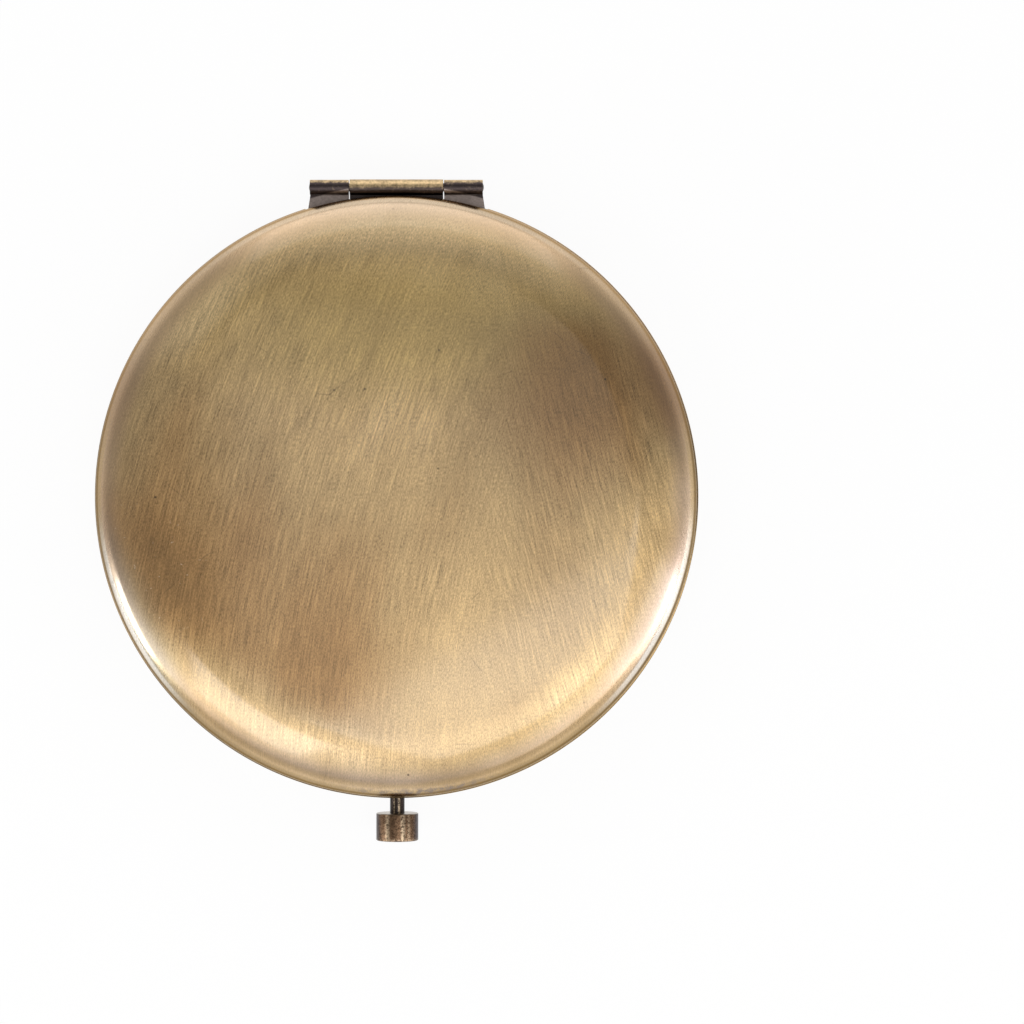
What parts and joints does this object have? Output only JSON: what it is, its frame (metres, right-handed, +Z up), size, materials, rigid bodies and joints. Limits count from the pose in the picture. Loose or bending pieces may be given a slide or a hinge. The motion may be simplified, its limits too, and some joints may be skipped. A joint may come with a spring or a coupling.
{
  "type": "compact mirror",
  "caption": "Round pocket compact mirror with two domed metal shells, a rolled pin hinge and a push-button latch; it opens flat to show two mirrors.",
  "frame": {"origin": "middle of the flat face under the base, which it rests on", "axes": "+X to the right with the hinge at the back, +Y from the push button to the hinge, +Z up through the lid"},
  "size_m": [0.07, 0.0768, 0.0139],
  "materials": {
    "brushed_brass": "satin, brushed, antiqued",
    "worn_brass": "satin, antiqued",
    "dark_brass": "dark patina",
    "button_bronze": "satin, bronze patina",
    "tray_steel": "satin",
    "latch_steel": "satin",
    "mirror_glass": "polished",
    "mirror_pad": "matte"
  },
  "bodies": {
    "base": {"base_shell": "brushed_brass", "base_frame": "dark_brass", "base_tray": "tray_steel", "base_mirror": "mirror_glass", "base_mirror_pad": "mirror_pad", "latch_guide": "latch_steel", "latch_spring": "latch_steel", "hinge_pin": "dark_brass"},
    "lid": {"lid_shell": "brushed_brass", "lid_frame": "worn_brass", "lid_tray": "tray_steel", "lid_mirror": "mirror_glass", "lid_mirror_pad": "mirror_pad", "lid_catch": "dark_brass"},
    "latch": {"latch_slide": "latch_steel", "button_shaft": "dark_brass", "button_knob": "button_bronze"}
  },
  "joints": [
    {"name": "lid_hinge", "type": "hinge", "parent": "base", "child": "lid", "pos_m": [0, 0.03577, 0.00728], "axis": [-1, 0, 0], "range_deg": [0, 180]},
    {"name": "button_press", "type": "slide", "parent": "base", "child": "latch", "axis": [0, 1, 0], "range_m": [0, 0.0013], "stiffness_N_per_m": 800, "springref_m": -0.002, "deforming": ["latch_spring"]}
  ]
}
